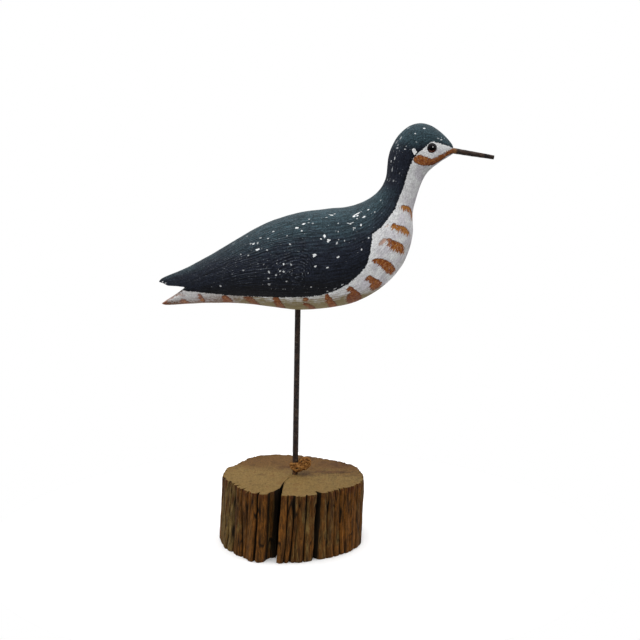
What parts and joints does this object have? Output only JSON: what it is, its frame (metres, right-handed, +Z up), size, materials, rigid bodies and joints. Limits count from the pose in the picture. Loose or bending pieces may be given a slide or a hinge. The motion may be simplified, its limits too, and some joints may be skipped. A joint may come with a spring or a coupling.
{
  "type": "shorebird decoy",
  "caption": "Carved and painted wooden shorebird with a straight iron bill and glass eyes, standing on an iron rod in a slice of weathered log, for display on a shelf or table.",
  "frame": {"origin": "on the underside of the log, where the line of the rod meets it", "axes": "+X towards the bill, +Y to the bird's left, +Z up"},
  "size_m": [0.2845, 0.1264, 0.3637],
  "materials": {
    "painted_wood": "hand-painted in dull oil paint: dark blue-black above, off-white below with rust-brown bars, flecked with white",
    "iron_spike": "dark brown-black forged iron, dull",
    "glass_eye": "glossy dark glass with a black pupil in a deep red-brown iris",
    "rusted_iron": "dull brown rust over dark iron",
    "weathered_log": "bare weathered wood: ochre sawn top, brown furrowed side with black grooves",
    "twine": "coarse orange-brown twisted twine"
  },
  "bodies": {
    "root": {"carved_bird": "painted_wood", "bill": "iron_spike", "eye_left": "glass_eye", "eye_right": "glass_eye", "rod": "rusted_iron", "log_base": "weathered_log", "twine_knot": "twine"}
  },
  "joints": []
}
